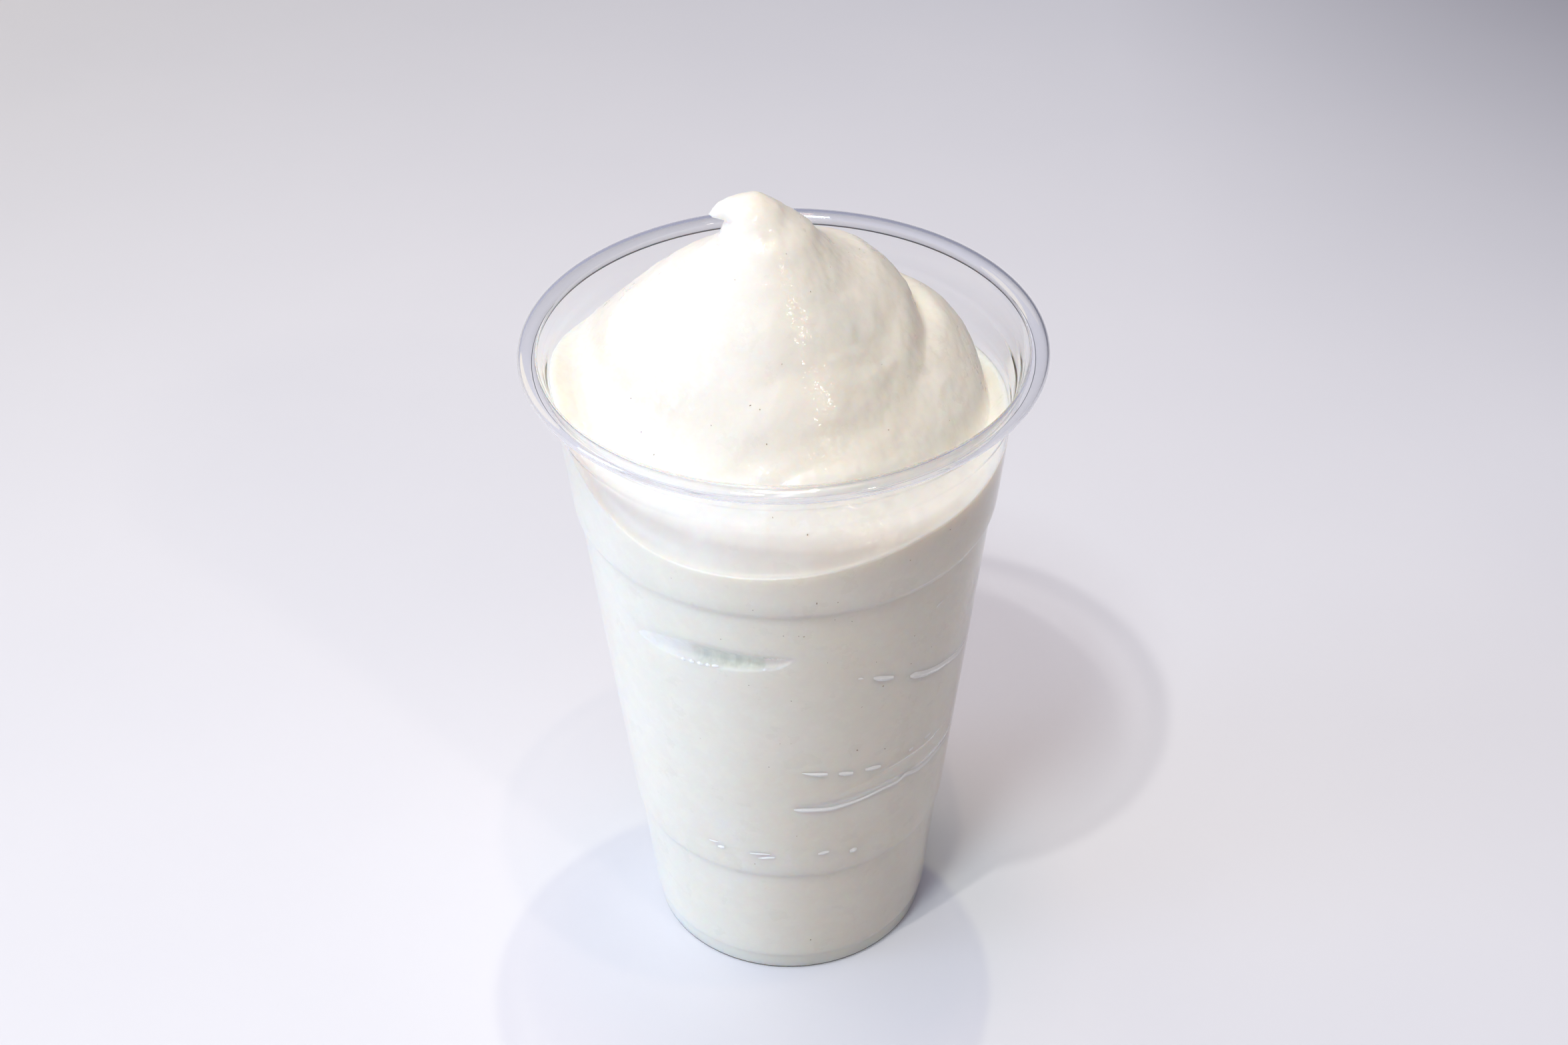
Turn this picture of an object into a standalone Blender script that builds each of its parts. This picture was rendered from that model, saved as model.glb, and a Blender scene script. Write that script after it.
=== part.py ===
"""Vanilla milkshake in a clear cold-drink cup.

Two solids: the thin-walled cup with its rolled rim, and the milkshake that fills
it and rises above the rim in a soft mound with a tip curled over to one side.
Metres, +Z up, origin at the centre of the cup's base on the surface it stands on.
The front of the drink, where the mound meets the wall lowest, faces -Y.
"""

import math

import bmesh
import bpy
from mathutils import Vector

MM = 0.001
TURN = 48  # facets round the cup; cup and drink share them, so their gap stays even

# ---- cup, millimetres ----
RIM_RADIUS = 49.0  # outside of the rolled rim
RIM_TOP = 139.1
CURL_HALF_WIDTH = 1.85
CURL_HALF_HEIGHT = 1.47
CURL_END = -118.0  # degrees round the curl's section at which the sheet stops
SHEET = 0.5  # wall thickness
FOOT_RADIUS = 28.45  # outer edge of the foot ring
FOOT_INNER = 25.6
FOOT_ROUND = 0.7
PLATE_RADIUS = 24.9  # raised bottom inside the foot ring
PLATE_UNDER = 4.0
HEEL = ((28.93, 4.2), (29.22, 5.1))  # small step just above the foot
LOWER_RING = ((31.55, 30.3), (32.47, 33.2))  # stacking step near the base
SHOULDER = ((39.87, 104.5), (41.05, 108.3))  # stacking step near the top
NECK_LINE = ((42.86, 126.4), (43.08, 127.3))
LIP_LINE = ((43.5, 131.4), (43.9, 132.2))
FLARE = ((44.32, 134.4), (44.95, 136.0))

# ---- milkshake, millimetres ----
GAP = 0.3  # clearance to the cup
PEAK_BASE_RADIUS = 12.0  # where the cone turns into the curled peak
PEAK_BASE_HEIGHT = 157.0
PEAK_BASE_SHIFT = -2.6  # the peak stands a little left of the cup's axis

# Height of the contact line on the wall: mean, then cosine and sine of each turn.
CONTACT = (123.9, (-2.8, 6.3), (3.0, -1.4), (-1.3, -0.2), (1.1, 0.3))
# The crease between the mound and the skirt that lies against the wall.
CREASE_HEIGHT = (127.6, (-3.9, 2.2), (-1.6, -2.1), (-0.9, 1.2))
CREASE_RADIUS = (36.1, (-0.1, 4.0), (1.9, 0.1), (-0.1, 0.3))

# Upper swirl layer: its lower edge overhangs a groove on the right-hand side.
GROOVE_RADIUS = 27.4
GROOVE_HEIGHT = 140.4
GROOVE_AZIMUTH = 24.0
GROOVE_SPREAD = 62.0
FULLNESS = (2.9, 45.0, 65.0, 22.3, 7.7)  # height, azimuth, spread, radius, width
BULGE_OUT = 0.8  # the lower layer's round foot goes on past the crease
BULGE_DOWN = 2.5
VALLEY_ROUND = 3.0  # how softly the mound runs into the skirt

# Folds across the front: azimuth from and to, radius there and midway, depth, width.
FOLDS = (
    (-15.0, -118.0, 26.9, 23.4, 22.3, 0.55, 1.5),
    (-8.0, -72.0, 25.2, 22.6, 18.6, 0.5, 1.3),
    (-34.0, -108.0, 28.5, 27.6, 29.6, 0.55, 1.6),
    (-58.0, -112.0, 31.6, 31.3, 32.4, 0.35, 1.4),
)

# Stations of the peak from its base to the tip: left edge (x, z), right edge (x, z).
PEAK_STATIONS = (
    (-14.6, 157.0, 9.4, 157.0),
    (-12.3, 159.1, 7.9, 159.4),
    (-11.2, 161.2, 5.4, 162.0),
    (-10.5, 162.6, 2.2, 164.4),
    (-10.0, 163.5, -1.4, 167.3),
    (-9.9, 163.9, -4.9, 168.9),
    (-10.3, 164.15, -8.4, 168.4),
    (-11.2, 164.3, -10.9, 167.5),
    (-12.2, 164.35, -12.3, 166.3),
)
PEAK_TIP = (-13.1, 165.0)


def smooth(x):
    x = min(max(x, 0.0), 1.0)
    return x * x * (3.0 - 2.0 * x)


def harmonic(theta, terms):
    value = terms[0]
    for order, (a, b) in enumerate(terms[1:], start=1):
        value += a * math.cos(order * theta) + b * math.sin(order * theta)
    return value


def between(stations, z):
    """Radius at height z on a run of (radius, height) stations."""
    for (r0, z0), (r1, z1) in zip(stations, stations[1:]):
        if z <= z1:
            return r0 + (r1 - r0) * (z - z0) / (z1 - z0)
    return stations[-1][0]


def curl(offset, start, stop, count):
    """Points round the rolled rim's elliptic section, offset inwards from its outside."""
    centre_r = RIM_RADIUS - CURL_HALF_WIDTH
    centre_z = RIM_TOP - CURL_HALF_HEIGHT
    points = []
    for i in range(count):
        angle = math.radians(start + (stop - start) * i / (count - 1))
        points.append(
            (
                centre_r + (CURL_HALF_WIDTH - offset) * math.cos(angle),
                centre_z + (CURL_HALF_HEIGHT - offset) * math.sin(angle),
            )
        )
    return points


WALL = (HEEL[1],) + LOWER_RING + SHOULDER + NECK_LINE + LIP_LINE + FLARE


def cup_profile():
    """The cup's section from the axis under the base, up the outside, over the rim and down the inside."""
    outside = [(0.0, PLATE_UNDER), (PLATE_RADIUS, PLATE_UNDER)]
    outside += [(FOOT_INNER, 0.0)]
    for i in range(3):
        a = math.radians(-90.0 + 45.0 * i)
        outside.append(
            (
                FOOT_RADIUS - FOOT_ROUND + FOOT_ROUND * math.cos(a),
                FOOT_ROUND + FOOT_ROUND * math.sin(a),
            )
        )
    outside += [HEEL[0]] + list(WALL)
    outside += curl(SHEET, 172.0, CURL_END, 8)
    tip_and_top = curl(0.0, CURL_END, 180.0, 11)
    inside = [(r - SHEET, z) for r, z in reversed(WALL)]
    channel = [
        (HEEL[0][0] - SHEET, HEEL[0][1]),
        (FOOT_RADIUS - FOOT_ROUND * 0.3 - SHEET, SHEET + 0.2),
        (FOOT_INNER + SHEET, SHEET),
        (PLATE_RADIUS + SHEET, PLATE_UNDER + SHEET),
        (0.0, PLATE_UNDER + SHEET),
    ]
    return outside + tip_and_top + inside + channel


def wall_inside(z):
    return between([(r - SHEET, h) for r, h in WALL], z)


def contact_point(theta):
    z = harmonic(theta, CONTACT)
    return wall_inside(z) - GAP, z


def fold_depth(theta, radius):
    """How far the folds across the front lower the mound."""
    azimuth = (math.degrees(theta) + 180.0) % 360.0 - 180.0
    depth = 0.0
    for start, stop, r_start, r_middle, r_stop, deepest, width in FOLDS:
        along = (azimuth - start) / (stop - start)
        if not 0.0 < along < 1.0:
            continue
        line = r_start * (1 - along) + r_stop * along
        line += 4.0 * along * (1 - along) * (r_middle - 0.5 * (r_start + r_stop))
        fade = smooth(4.0 * along) * smooth(4.0 * (1.0 - along))
        depth += deepest * fade * math.exp(-(((radius - line) / width) ** 2))
    return depth


def mound_height(theta, radius):
    """Height of the mound from under the skirt to the base of the peak."""
    crease_r = harmonic(theta, CREASE_RADIUS)
    crease_z = harmonic(theta, CREASE_HEIGHT)
    share = (crease_r - radius) / (crease_r - PEAK_BASE_RADIUS)
    front = max(0.0, -math.sin(theta))
    swell = 0.055 * (1.0 - front) * math.sin(math.pi * min(max(share, 0.0), 1.0))
    cone = crease_z + (PEAK_BASE_HEIGHT - crease_z) * (share + swell)
    # Two stacked layers on the right: a rounded lower one, a groove, a rounded upper one.
    edge = crease_r + BULGE_OUT
    foot = crease_z - BULGE_DOWN
    if radius >= GROOVE_RADIUS:
        x = (edge - radius) / (edge - GROOVE_RADIUS)
        x = min(max(x, 0.0), 1.0)
        layered = foot + (GROOVE_HEIGHT - foot) * (1.0 - (1.0 - x) ** 2.4) ** 0.62
    else:
        x = (GROOVE_RADIUS - radius) / (GROOVE_RADIUS - PEAK_BASE_RADIUS)
        layered = GROOVE_HEIGHT + (PEAK_BASE_HEIGHT - GROOVE_HEIGHT) * x**0.65
    turn = math.degrees(theta) - GROOVE_AZIMUTH
    turn = (turn + 180.0) % 360.0 - 180.0
    weight = smooth(1.0 - abs(turn) / GROOVE_SPREAD)
    # The upper layer stands fuller towards the back right.
    high, azimuth, spread, middle, width = FULLNESS
    behind = (math.degrees(theta) - azimuth + 180.0) % 360.0 - 180.0
    full = high * smooth(1.0 - abs(behind) / spread) * smooth((radius - PEAK_BASE_RADIUS) / 3.0)
    full *= math.exp(-(((radius - middle) / width) ** 2))
    return cone + (layered - cone) * weight + full - fold_depth(theta, radius)


def skirt_height(theta, radius):
    """Height of the skirt that runs from the wall inwards under the mound."""
    wall_r, wall_z = contact_point(theta)
    crease_r = harmonic(theta, CREASE_RADIUS)
    crease_z = harmonic(theta, CREASE_HEIGHT)
    slope = (crease_z - wall_z) / (wall_r - crease_r)
    if radius >= crease_r:
        return wall_z + slope * (wall_r - radius)
    return crease_z + min(slope, 0.5) * (crease_r - radius)


def surface_point(theta, share):
    """From the contact line on the wall (share 0) to the base of the peak (share 1)."""
    wall_r, wall_z = contact_point(theta)
    r = wall_r + (PEAK_BASE_RADIUS - wall_r) * share
    mound = mound_height(theta, r)
    skirt = skirt_height(theta, r)
    # The two meet in a rounded valley, not in a sharp crease.
    reach = VALLEY_ROUND * smooth(6.0 * share)
    overlap = max(reach - abs(mound - skirt), 0.0)
    z = max(mound, skirt)
    if reach > 0.0:
        z += overlap * overlap / (4.0 * reach)
    z = wall_z + (z - wall_z) * smooth(12.0 * share)
    shift = PEAK_BASE_SHIFT * smooth(share)
    return shift + r * math.cos(theta), r * math.sin(theta), z


def peak_ring(station, theta):
    left_x, left_z, right_x, right_z = station
    cx, cz = 0.5 * (left_x + right_x), 0.5 * (left_z + right_z)
    hx, hz = 0.5 * (right_x - left_x), 0.5 * (right_z - left_z)
    half = math.hypot(hx, hz)
    return cx + hx * math.cos(theta), half * math.sin(theta), cz + hz * math.cos(theta)


def drink_rings():
    """Every ring of the drink from the outer edge of its underside to the tip."""
    angles = [2.0 * math.pi * i / TURN for i in range(TURN)]
    floor = PLATE_UNDER + SHEET + GAP
    rings = []
    # The drink runs down into the hollow foot.
    underside = (
        (14.0, floor),
        (PLATE_RADIUS + SHEET + GAP + 0.05, floor),
        (FOOT_INNER + SHEET + GAP + 0.05, SHEET + GAP),
        (FOOT_RADIUS - FOOT_ROUND * 0.3 - SHEET - GAP, SHEET + GAP + 0.2),
        (HEEL[0][0] - SHEET - GAP, HEEL[0][1] + 0.1),
    )
    for radius, height in underside:
        rings.append([(radius * math.cos(a), radius * math.sin(a), height) for a in angles])
    for z in (HEEL[1][1] + 0.3, LOWER_RING[0][1], LOWER_RING[1][1], 57.0, 81.0,
              SHOULDER[0][1], SHOULDER[1][1]):
        r = wall_inside(z) - GAP
        rings.append([(r * math.cos(a), r * math.sin(a), z) for a in angles])
    top = SHOULDER[1][1]
    for share in (0.25, 0.5, 0.75, 1.0):
        ring = []
        for a in angles:
            z = top + (harmonic(a, CONTACT) - top) * share
            r = wall_inside(z) - GAP
            ring.append((r * math.cos(a), r * math.sin(a), z))
        rings.append(ring)
    steps = 22
    for i in range(1, steps):
        rings.append([surface_point(a, i / steps) for a in angles])
    for station in PEAK_STATIONS:
        rings.append([peak_ring(station, a) for a in angles])
    return rings


def drink_mesh():
    bm = bmesh.new()
    rings = []
    for ring in drink_rings():
        rings.append([bm.verts.new(Vector(p) * MM) for p in ring])
    bottom = bm.verts.new((0.0, 0.0, (PLATE_UNDER + SHEET + GAP) * MM))
    tip = bm.verts.new((PEAK_TIP[0] * MM, 0.0, PEAK_TIP[1] * MM))
    for i in range(TURN):
        j = (i + 1) % TURN
        bm.faces.new((bottom, rings[0][j], rings[0][i]))
        for lower, upper in zip(rings, rings[1:]):
            bm.faces.new((lower[i], lower[j], upper[j], upper[i]))
        bm.faces.new((rings[-1][i], rings[-1][j], tip))
    bmesh.ops.recalc_face_normals(bm, faces=bm.faces)
    return bm


def cup_mesh():
    bm = bmesh.new()
    points = [bm.verts.new((r * MM, 0.0, z * MM)) for r, z in cup_profile()]
    edges = [bm.edges.new(pair) for pair in zip(points, points[1:])]
    bmesh.ops.spin(
        bm,
        geom=points + edges,
        cent=(0.0, 0.0, 0.0),
        axis=(0.0, 0.0, 1.0),
        angle=2.0 * math.pi,
        steps=TURN,
        use_merge=True,
    )
    bmesh.ops.remove_doubles(bm, verts=bm.verts, dist=0.00001)
    bmesh.ops.recalc_face_normals(bm, faces=bm.faces)
    return bm


def material(name, colour, roughness, transmission=0.0, ior=1.45):
    made = bpy.data.materials.new(name)
    made.use_nodes = True
    shader = made.node_tree.nodes["Principled BSDF"]
    shader.inputs["Base Color"].default_value = (*colour, 1.0)
    shader.inputs["Roughness"].default_value = roughness
    shader.inputs["Metallic"].default_value = 0.0
    shader.inputs["Transmission Weight"].default_value = transmission
    shader.inputs["IOR"].default_value = ior
    return made


def add(name, bm, finish, sharp_angle):
    mesh = bpy.data.meshes.new(name)
    bm.to_mesh(mesh)
    bm.free()
    mesh.materials.append(finish)
    mesh.shade_smooth()
    mesh.set_sharp_from_angle(angle=math.radians(sharp_angle))
    made = bpy.data.objects.new(name, mesh)
    bpy.context.scene.collection.objects.link(made)
    return made


def main():
    for old in list(bpy.data.objects):
        bpy.data.objects.remove(old, do_unlink=True)
    stand = bpy.data.objects.new("drink_origin", None)
    bpy.context.scene.collection.objects.link(stand)
    cup = add("cup", cup_mesh(), material("clear_plastic", (0.94, 0.95, 0.97), 0.04, 1.0, 1.57), 40.0)
    drink = add("milkshake", drink_mesh(), material("vanilla_shake", (0.86, 0.79, 0.68), 0.45), 60.0)
    cup.parent = stand
    drink.parent = stand


main()
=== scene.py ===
"""Looks of a vanilla milkshake in a clear cold-drink cup.

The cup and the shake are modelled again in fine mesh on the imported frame. Lengths are
in millimetres until a mesh is made. The cup's axis is Z, and the front is -Y.
"""

import math

import bpy
import numpy as np
from mathutils import Matrix, Vector
from mathutils.bvhtree import BVHTree


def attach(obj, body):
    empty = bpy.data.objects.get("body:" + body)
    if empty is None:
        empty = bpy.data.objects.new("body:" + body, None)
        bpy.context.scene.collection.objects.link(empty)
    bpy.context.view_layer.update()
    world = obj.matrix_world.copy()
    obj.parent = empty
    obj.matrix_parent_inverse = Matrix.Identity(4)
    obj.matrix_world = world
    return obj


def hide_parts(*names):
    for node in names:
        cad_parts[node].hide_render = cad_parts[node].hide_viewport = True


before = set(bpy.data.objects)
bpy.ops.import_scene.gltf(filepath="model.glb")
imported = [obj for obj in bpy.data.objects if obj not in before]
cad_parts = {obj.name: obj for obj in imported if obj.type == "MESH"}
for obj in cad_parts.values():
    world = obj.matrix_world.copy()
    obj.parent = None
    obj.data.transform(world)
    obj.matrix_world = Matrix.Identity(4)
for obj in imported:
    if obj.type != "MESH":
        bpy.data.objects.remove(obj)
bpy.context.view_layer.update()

MM = 0.001

# ---------------------------------------------------------------- cup, sizes

RIM_RADIUS = 48.99
RIM_TOP = 139.1
CURL_HALF_WIDTH = 1.85
CURL_HALF_HEIGHT = 1.47
CURL_END = -118.0
LIP_SHEET = 0.035
SHEET = 0.5
FOOT_RADIUS = 28.45
FOOT_INNER = 25.6
PLATE_RADIUS = 24.9
PLATE_UNDER = 4.0
CUP_TURN = 224

# Outer wall: radius, height, and how widely the corner there is rounded.
WALL = (
    (28.93, 4.2, 0.5),
    (29.22, 5.1, 0.5),
    (31.58, 30.5, 0.35),
    (32.2, 31.5, 0.35),
    (32.47, 33.2, 0.6),
    (39.9, 104.6, 0.35),
    (40.68, 105.8, 0.35),
    (41.05, 108.3, 0.6),
    (42.86, 126.4, 0.35),
    (43.08, 127.3, 0.35),
    (43.5, 131.4, 0.35),
    (43.9, 132.2, 0.35),
    (44.32, 134.4, 0.6),
    (44.95, 136.0, 0.5),
)

# ---------------------------------------------------------------- shake, sizes

INTO_WALL = 0.16  # the shake reaches this far into the plastic
PEAK_BASE_RADIUS = 12.0
PEAK_BASE_HEIGHT = 157.0
PEAK_BASE_SHIFT = -2.6

CONTACT = (
    123.92, (-2.87, 6.30), (3.03, -1.46), (-1.25, -0.21), (1.06, 0.29), (-0.09, -0.23), (0.39, 0.24),
)
CREASE_HEIGHT = (127.6, (-3.9, 2.2), (-1.6, -2.1), (-0.9, 1.2))
CREASE_RADIUS = (36.1, (-0.1, 4.0), (1.9, 0.1), (-0.1, 0.3))

GROOVE_RADIUS = 27.4
GROOVE_HEIGHT = 140.4
GROOVE_AZIMUTH = 24.0
GROOVE_SPREAD = 62.0
FULLNESS = (2.9, 45.0, 65.0, 22.3, 7.7)  # fuller at the back right: height, azimuth, spread, radius, width
BULGE_OUT = 0.8
BULGE_DOWN = 2.5
VALLEY_ROUND = 3.0

PEAK_STATIONS = (
    (-14.6, 157.0, 9.4, 157.0),
    (-12.3, 159.1, 7.9, 159.4),
    (-11.2, 161.2, 5.4, 162.0),
    (-10.5, 162.6, 2.2, 164.4),
    (-10.0, 163.5, -1.4, 167.3),
    (-9.9, 163.9, -4.9, 168.75),
    (-10.3, 164.15, -8.4, 168.3),
    (-11.2, 164.3, -10.9, 167.4),
    (-12.2, 164.35, -12.3, 166.2),
)
PEAK_TIP = (-13.1, 165.0)
TOP = 168.9

# Creases and folds of the mound in the top view: points (x, y, depth), then the width.
CREASES = (
    # the edge of the top swirl: over the right shoulder, down the groove
    (((13.9, 12.0, 0.0), (17.6, 12.9, 0.18), (20.9, 13.2, 0.34), (23.4, 11.6, 0.42), (24.9, 8.0, 0.42),
      (25.6, 4.1, 0.38), (25.9, 0.4, 0.32), (25.7, -3.0, 0.3), (24.9, -6.6, 0.3), (23.2, -10.0, 0.28),
      (20.8, -13.4, 0.26), (16.5, -17.3, 0.26), (11.8, -20.2, 0.24), (7.6, -22.2, 0.2), (3.5, -23.9, 0.14),
      (-2.0, -25.2, 0.0)), 1.9),
    (((21.4, -1.0, 0.0), (20.1, -3.7, 0.2), (18.7, -7.7, 0.3), (16.1, -11.9, 0.3), (13.5, -14.6, 0.24),
      (9.5, -17.5, 0.26), (4.0, -20.0, 0.24), (-3.0, -21.0, 0.16), (-9.0, -20.5, 0.0)), 1.9),
    (((28.2, -6.5, 0.0), (25.8, -10.4, 0.2), (22.7, -15.1, 0.28), (18.4, -19.4, 0.3), (14.2, -22.2, 0.34),
      (10.0, -24.4, 0.36), (5.1, -26.2, 0.34), (0.2, -27.4, 0.3), (-4.7, -28.1, 0.24), (-8.8, -28.6, 0.18),
      (-14.0, -28.5, 0.0)), 1.7),
    (((15.5, -22.6, 0.0), (10.8, -25.9, 0.22), (7.5, -27.7, 0.3), (3.4, -29.5, 0.32), (0.1, -30.8, 0.3),
      (-5.0, -32.0, 0.2), (-10.0, -32.0, 0.0)), 1.5),
    # under the nose
    (((3.0, 0.0, 0.0), (1.6, -2.4, 0.06), (-0.3, -4.5, 0.1), (-2.9, -5.9, 0.1), (-6.0, -6.6, 0.06),
      (-8.0, -6.8, 0.0)), 1.1),
)


def smooth(x):
    x = np.clip(x, 0.0, 1.0)
    return x * x * (3.0 - 2.0 * x)


def harmonic(theta, terms):
    value = terms[0] + 0.0 * theta
    for order, (a, b) in enumerate(terms[1:], start=1):
        value = value + a * np.cos(order * theta) + b * np.sin(order * theta)
    return value


# ---------------------------------------------------------------- noise


def hashed(ix, iy, iz, seed):
    h = (ix * 374761393 + iy * 668265263 + iz * 1440662683 + seed * 1013904223) & 0xFFFFFFFF
    h = ((h ^ (h >> 13)) * 1274126177) & 0xFFFFFFFF
    h = ((h ^ (h >> 16)) * 2246822519) & 0xFFFFFFFF
    return (h ^ (h >> 15)) & 0xFFFFFFFF


def noise(points, size, seed=0):
    """Gradient noise from -1 to 1 with features about as large as size."""
    p = np.asarray(points, np.float64) / size
    cell = np.floor(p).astype(np.int64)
    f = p - cell
    w = f * f * f * (f * (f * 6.0 - 15.0) + 10.0)
    total = np.zeros(len(p))
    for dx in (0, 1):
        for dy in (0, 1):
            for dz in (0, 1):
                h = hashed(cell[:, 0] + dx, cell[:, 1] + dy, cell[:, 2] + dz, seed)
                a = (h & 0xFFFF) / 65536.0 * 2.0 * np.pi
                c = ((h >> 16) & 0xFFFF) / 32768.0 - 1.0
                s = np.sqrt(np.maximum(0.0, 1.0 - c * c))
                dot = (f[:, 0] - dx) * s * np.cos(a) + (f[:, 1] - dy) * s * np.sin(a) + (f[:, 2] - dz) * c
                weight = (
                    (w[:, 0] if dx else 1.0 - w[:, 0])
                    * (w[:, 1] if dy else 1.0 - w[:, 1])
                    * (w[:, 2] if dz else 1.0 - w[:, 2])
                )
                total += dot * weight
    return total * 1.6


# ---------------------------------------------------------------- meshes


def rings_to_mesh(name, rings, bottom=None, top=None):
    """Joins rings of points, each with as many points as the one before or half as many, and closes the ends."""
    points, starts, sizes = [], [], []
    at = 0
    for ring in rings:
        points.append(np.asarray(ring, np.float64))
        starts.append(at)
        sizes.append(len(ring))
        at += len(ring)
    faces = []
    for k in range(len(rings) - 1):
        a, b, n, m = starts[k], starts[k + 1], sizes[k], sizes[k + 1]
        if n == m:
            i = np.arange(n)
            j = (i + 1) % n
            faces += np.stack([a + i, a + j, b + j, b + i], 1).tolist()
        else:
            i = np.arange(m)
            j = (i + 1) % m
            faces += np.stack([a + 2 * i, a + 2 * i + 1, b + i], 1).tolist()
            faces += np.stack([a + 2 * i + 1, a + (2 * i + 2) % n, b + j, b + i], 1).tolist()
    if bottom is not None:
        points.append(np.array([bottom]))
        n = sizes[0]
        faces += [(at, (i + 1) % n, i) for i in range(n)]
        at += 1
    if top is not None:
        points.append(np.array([top]))
        n, a = sizes[-1], starts[-1]
        faces += [(a + i, a + (i + 1) % n, at) for i in range(n)]
        at += 1
    mesh = bpy.data.meshes.new(name)
    mesh.from_pydata((np.concatenate(points) * MM).tolist(), [], faces)
    mesh.update()
    mesh.shade_smooth()
    return mesh


def add(name, mesh, material):
    mesh.materials.clear()
    mesh.materials.append(material)
    made = bpy.data.objects.new(name, mesh)
    bpy.context.scene.collection.objects.link(made)
    return made


def get_points(mesh):
    flat = np.empty(len(mesh.vertices) * 3, np.float32)
    mesh.vertices.foreach_get("co", flat)
    return flat.reshape(-1, 3).astype(np.float64) / MM


def set_points(mesh, points):
    mesh.vertices.foreach_set("co", (points * MM).astype(np.float32).ravel())
    mesh.update()


def get_normals(mesh):
    flat = np.empty(len(mesh.vertices) * 3, np.float32)
    mesh.vertices.foreach_get("normal", flat)
    return flat.reshape(-1, 3).astype(np.float64)


# ---------------------------------------------------------------- the cup


def wall_raw(z):
    zs = [h for _, h, _ in WALL]
    rs = [r for r, _, _ in WALL]
    zs = [zs[0] - 4.0] + zs + [zs[-1] + 4.0]
    rs = [rs[0] - 1.3] + rs + [rs[-1] + 1.6]
    return np.interp(z, zs, rs)


def wall_outside(z):
    """Outer radius at height z, with its corners rounded."""
    z = np.asarray(z, np.float64)
    heights = np.array([h for _, h, _ in WALL])
    spans = np.array([s for _, _, s in WALL])
    near = np.exp(-(((z[..., None] - heights) / 4.0) ** 2)) + 1e-9
    span = (near * spans).sum(-1) / near.sum(-1)
    total = 0.0
    for k in np.linspace(-1.0, 1.0, 9):
        total = total + wall_raw(z + k * span)
    return total / 9.0


def wall_inside(z):
    return wall_outside(z) - SHEET


def wall_levels():
    """Heights along the wall, close together where it bends."""
    levels = [4.6, 4.9, 5.2, 5.6, 6.2]
    z = 7.0
    stops = sorted(h for _, h, _ in WALL)
    while z < 135.9:
        levels.append(z)
        gap = min(abs(z - h) for h in stops)
        z += min(4.0, max(0.22, 0.3 * gap))
    return levels + [136.0]


def curl_points(offset, start, stop, count):
    a = np.radians(np.linspace(start, stop, count))
    r = RIM_RADIUS - CURL_HALF_WIDTH + (CURL_HALF_WIDTH - offset) * np.cos(a)
    z = RIM_TOP - CURL_HALF_HEIGHT + (CURL_HALF_HEIGHT - offset) * np.sin(a)
    return list(zip(r.tolist(), z.tolist()))


def arc(r, z, radius, start, stop, count):
    a = np.radians(np.linspace(start, stop, count))
    return [(r + radius * math.cos(t), z + radius * math.sin(t)) for t in a]


def cup_profile():
    levels = wall_levels()
    outside = [(3.0, PLATE_UNDER), (12.0, PLATE_UNDER), (PLATE_RADIUS - 0.6, PLATE_UNDER)]
    outside += [(PLATE_RADIUS - 0.1, PLATE_UNDER - 0.2), (PLATE_RADIUS + 0.1, PLATE_UNDER - 0.7)]
    outside += [(FOOT_INNER - 0.05, 0.6), (FOOT_INNER + 0.2, 0.15), (FOOT_INNER + 0.6, 0.0)]
    outside += arc(FOOT_RADIUS - 0.9, 0.9, 0.9, -90.0, 0.0, 8)
    outside += [(FOOT_RADIUS + 0.12, 2.2), (FOOT_RADIUS + 0.28, 3.4), (28.8, 4.0), (28.98, 4.35)]
    outside += [(float(wall_outside(z)), z) for z in levels]
    # The rolled lip thins out towards its end.
    for k in range(44):
        angle = 174.0 + (CURL_END - 174.0) * k / 43.0
        thin = SHEET - (SHEET - LIP_SHEET) * float(np.clip(-angle / -CURL_END, 0.0, 1.0))
        outside += curl_points(thin, angle, angle, 1)
    end = curl_points(0.0, CURL_END, CURL_END, 1)
    inner_end = outside[-1]
    middle = (0.5 * (end[0][0] + inner_end[0]), 0.5 * (end[0][1] + inner_end[1]))
    rolled = [(middle[0] - 0.012, middle[1] + 0.006)] + curl_points(0.0, CURL_END, 178.0, 54)
    inside = [(float(wall_inside(z)), z) for z in reversed(levels)]
    channel = [(28.5, 4.35), (28.3, 4.0), (28.2, 3.4), (FOOT_RADIUS - 0.4, 2.2)]
    channel += arc(FOOT_RADIUS - 0.95, 1.0, 0.45, 0.0, -90.0, 6)
    channel += [(FOOT_INNER + 0.9, 0.55), (FOOT_INNER + 0.5, 0.9), (PLATE_RADIUS + 0.6, PLATE_UNDER - 0.4)]
    channel += [(PLATE_RADIUS + 0.25, PLATE_UNDER + 0.3), (PLATE_RADIUS - 0.4, PLATE_UNDER + SHEET)]
    channel += [(12.0, PLATE_UNDER + SHEET), (3.0, PLATE_UNDER + SHEET)]
    return outside + rolled + inside + channel


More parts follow.
